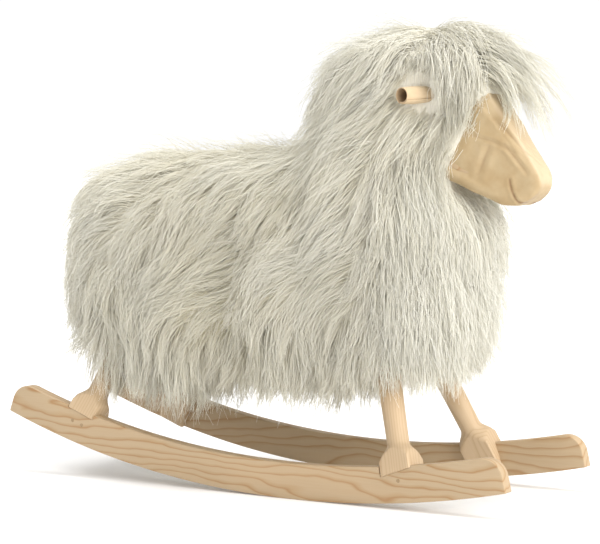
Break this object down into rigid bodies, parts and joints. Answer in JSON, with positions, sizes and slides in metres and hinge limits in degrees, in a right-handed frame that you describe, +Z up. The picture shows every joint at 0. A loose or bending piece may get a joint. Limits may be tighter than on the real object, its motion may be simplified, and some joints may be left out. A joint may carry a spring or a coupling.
{
  "type": "rocking sheep",
  "caption": "Long-wool rocking sheep for a child, on curved pine rockers with turned splayed legs, a leather muzzle and rolled leather ears.",
  "frame": {"origin": "centre of the object's box, on the floor", "axes": "+X towards the nose, along the rockers; +Y to the sheep's left; +Z up"},
  "size_m": [0.78, 0.312, 0.626],
  "materials": {
    "rocker_pine": "oiled pine, long wavy grain",
    "leg_pine": "oiled turned pine",
    "dowel_wood": "end grain",
    "frame_wood": "sawn pine",
    "screw_steel": "zinc plated",
    "leather": "undyed vegetable-tanned leather",
    "foam": "cotton-covered foam",
    "lining": "plain cotton canvas",
    "wool": "long undyed lambswool on the hide"
  },
  "bodies": {
    "root": {"rocker_left": "rocker_pine", "rocker_right": "rocker_pine", "leg_front_left": "leg_pine", "leg_front_right": "leg_pine", "leg_rear_left": "leg_pine", "leg_rear_right": "leg_pine", "dowel_front_left_1": "dowel_wood", "dowel_front_right_1": "dowel_wood", "dowel_rear_left_1": "dowel_wood", "dowel_rear_left_2": "dowel_wood", "dowel_rear_right_1": "dowel_wood", "dowel_rear_right_2": "dowel_wood", "leg_screw_front_left": "screw_steel", "leg_screw_front_right": "screw_steel", "leg_screw_rear_left": "screw_steel", "leg_screw_rear_right": "screw_steel", "seat_screw_front_1": "screw_steel", "seat_screw_front_2": "screw_steel", "seat_screw_rear_1": "screw_steel", "seat_screw_rear_2": "screw_steel", "neck_bolt_1": "screw_steel", "neck_bolt_2": "screw_steel", "head_screw_1": "screw_steel", "head_screw_2": "screw_steel", "front_bolster": "frame_wood", "rear_bolster": "frame_wood", "seat_board": "frame_wood", "neck_post": "frame_wood", "head_block": "frame_wood", "muzzle_cover": "leather", "ear_left": "leather", "ear_right": "leather", "neck_pad": "foam", "body_pad": "foam", "belly_cloth": "lining", "body_fleece": "wool", "neck_fleece": "wool", "head_fleece": "wool"}
  },
  "joints": []
}
